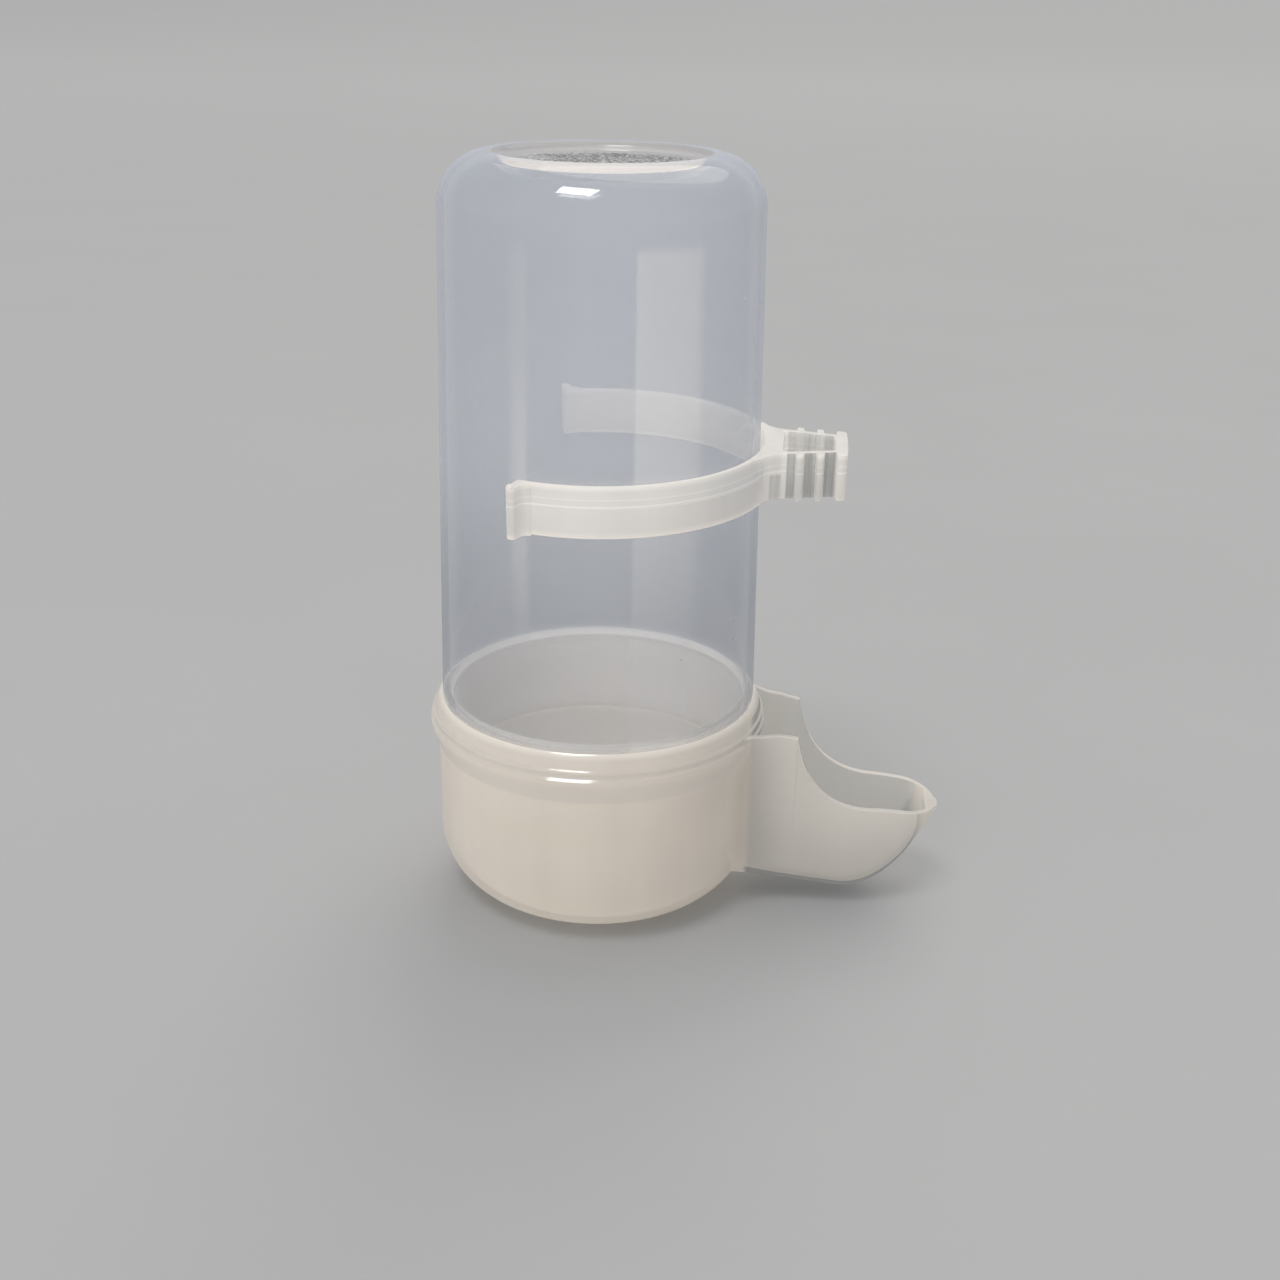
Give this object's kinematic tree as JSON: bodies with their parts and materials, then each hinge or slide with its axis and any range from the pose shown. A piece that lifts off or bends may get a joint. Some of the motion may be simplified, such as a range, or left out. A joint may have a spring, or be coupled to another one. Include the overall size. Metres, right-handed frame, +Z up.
{
  "type": "siphon drinker for cage birds",
  "caption": "Small siphon bird drinker: clear bottle standing mouth-down in a base cup with an open side trough, and a ribbed C clip for cage wires.",
  "frame": {"origin": "centre of the flat foot under the base cup, on the bottle's axis", "axes": "+Z up along the bottle, +X out along the drinking trough and the clip's tail, +Y to the left when looking out along the trough"},
  "size_m": [0.0875, 0.059, 0.1248],
  "materials": {
    "bottle_pp": "clear natural polypropylene, glossy, faintly blue-grey, thin-walled",
    "base_pp": "milky natural polypropylene, satin, warm grey-white",
    "clip_pp": "milky natural polypropylene, satin, bright edges"
  },
  "bodies": {
    "base": {"trough_base": "base_pp"},
    "bottle": {"bottle": "bottle_pp"},
    "clip": {"cage_clip": "clip_pp"}
  },
  "joints": [
    {"name": "bottle_lift", "type": "slide", "parent": "base", "child": "bottle", "axis": [0, 0, 1], "range_m": [0, 0.03]},
    {"name": "clip_slide", "type": "slide", "parent": "bottle", "child": "clip", "axis": [0, 0, 1], "range_m": [-0.013, 0.033]}
  ]
}
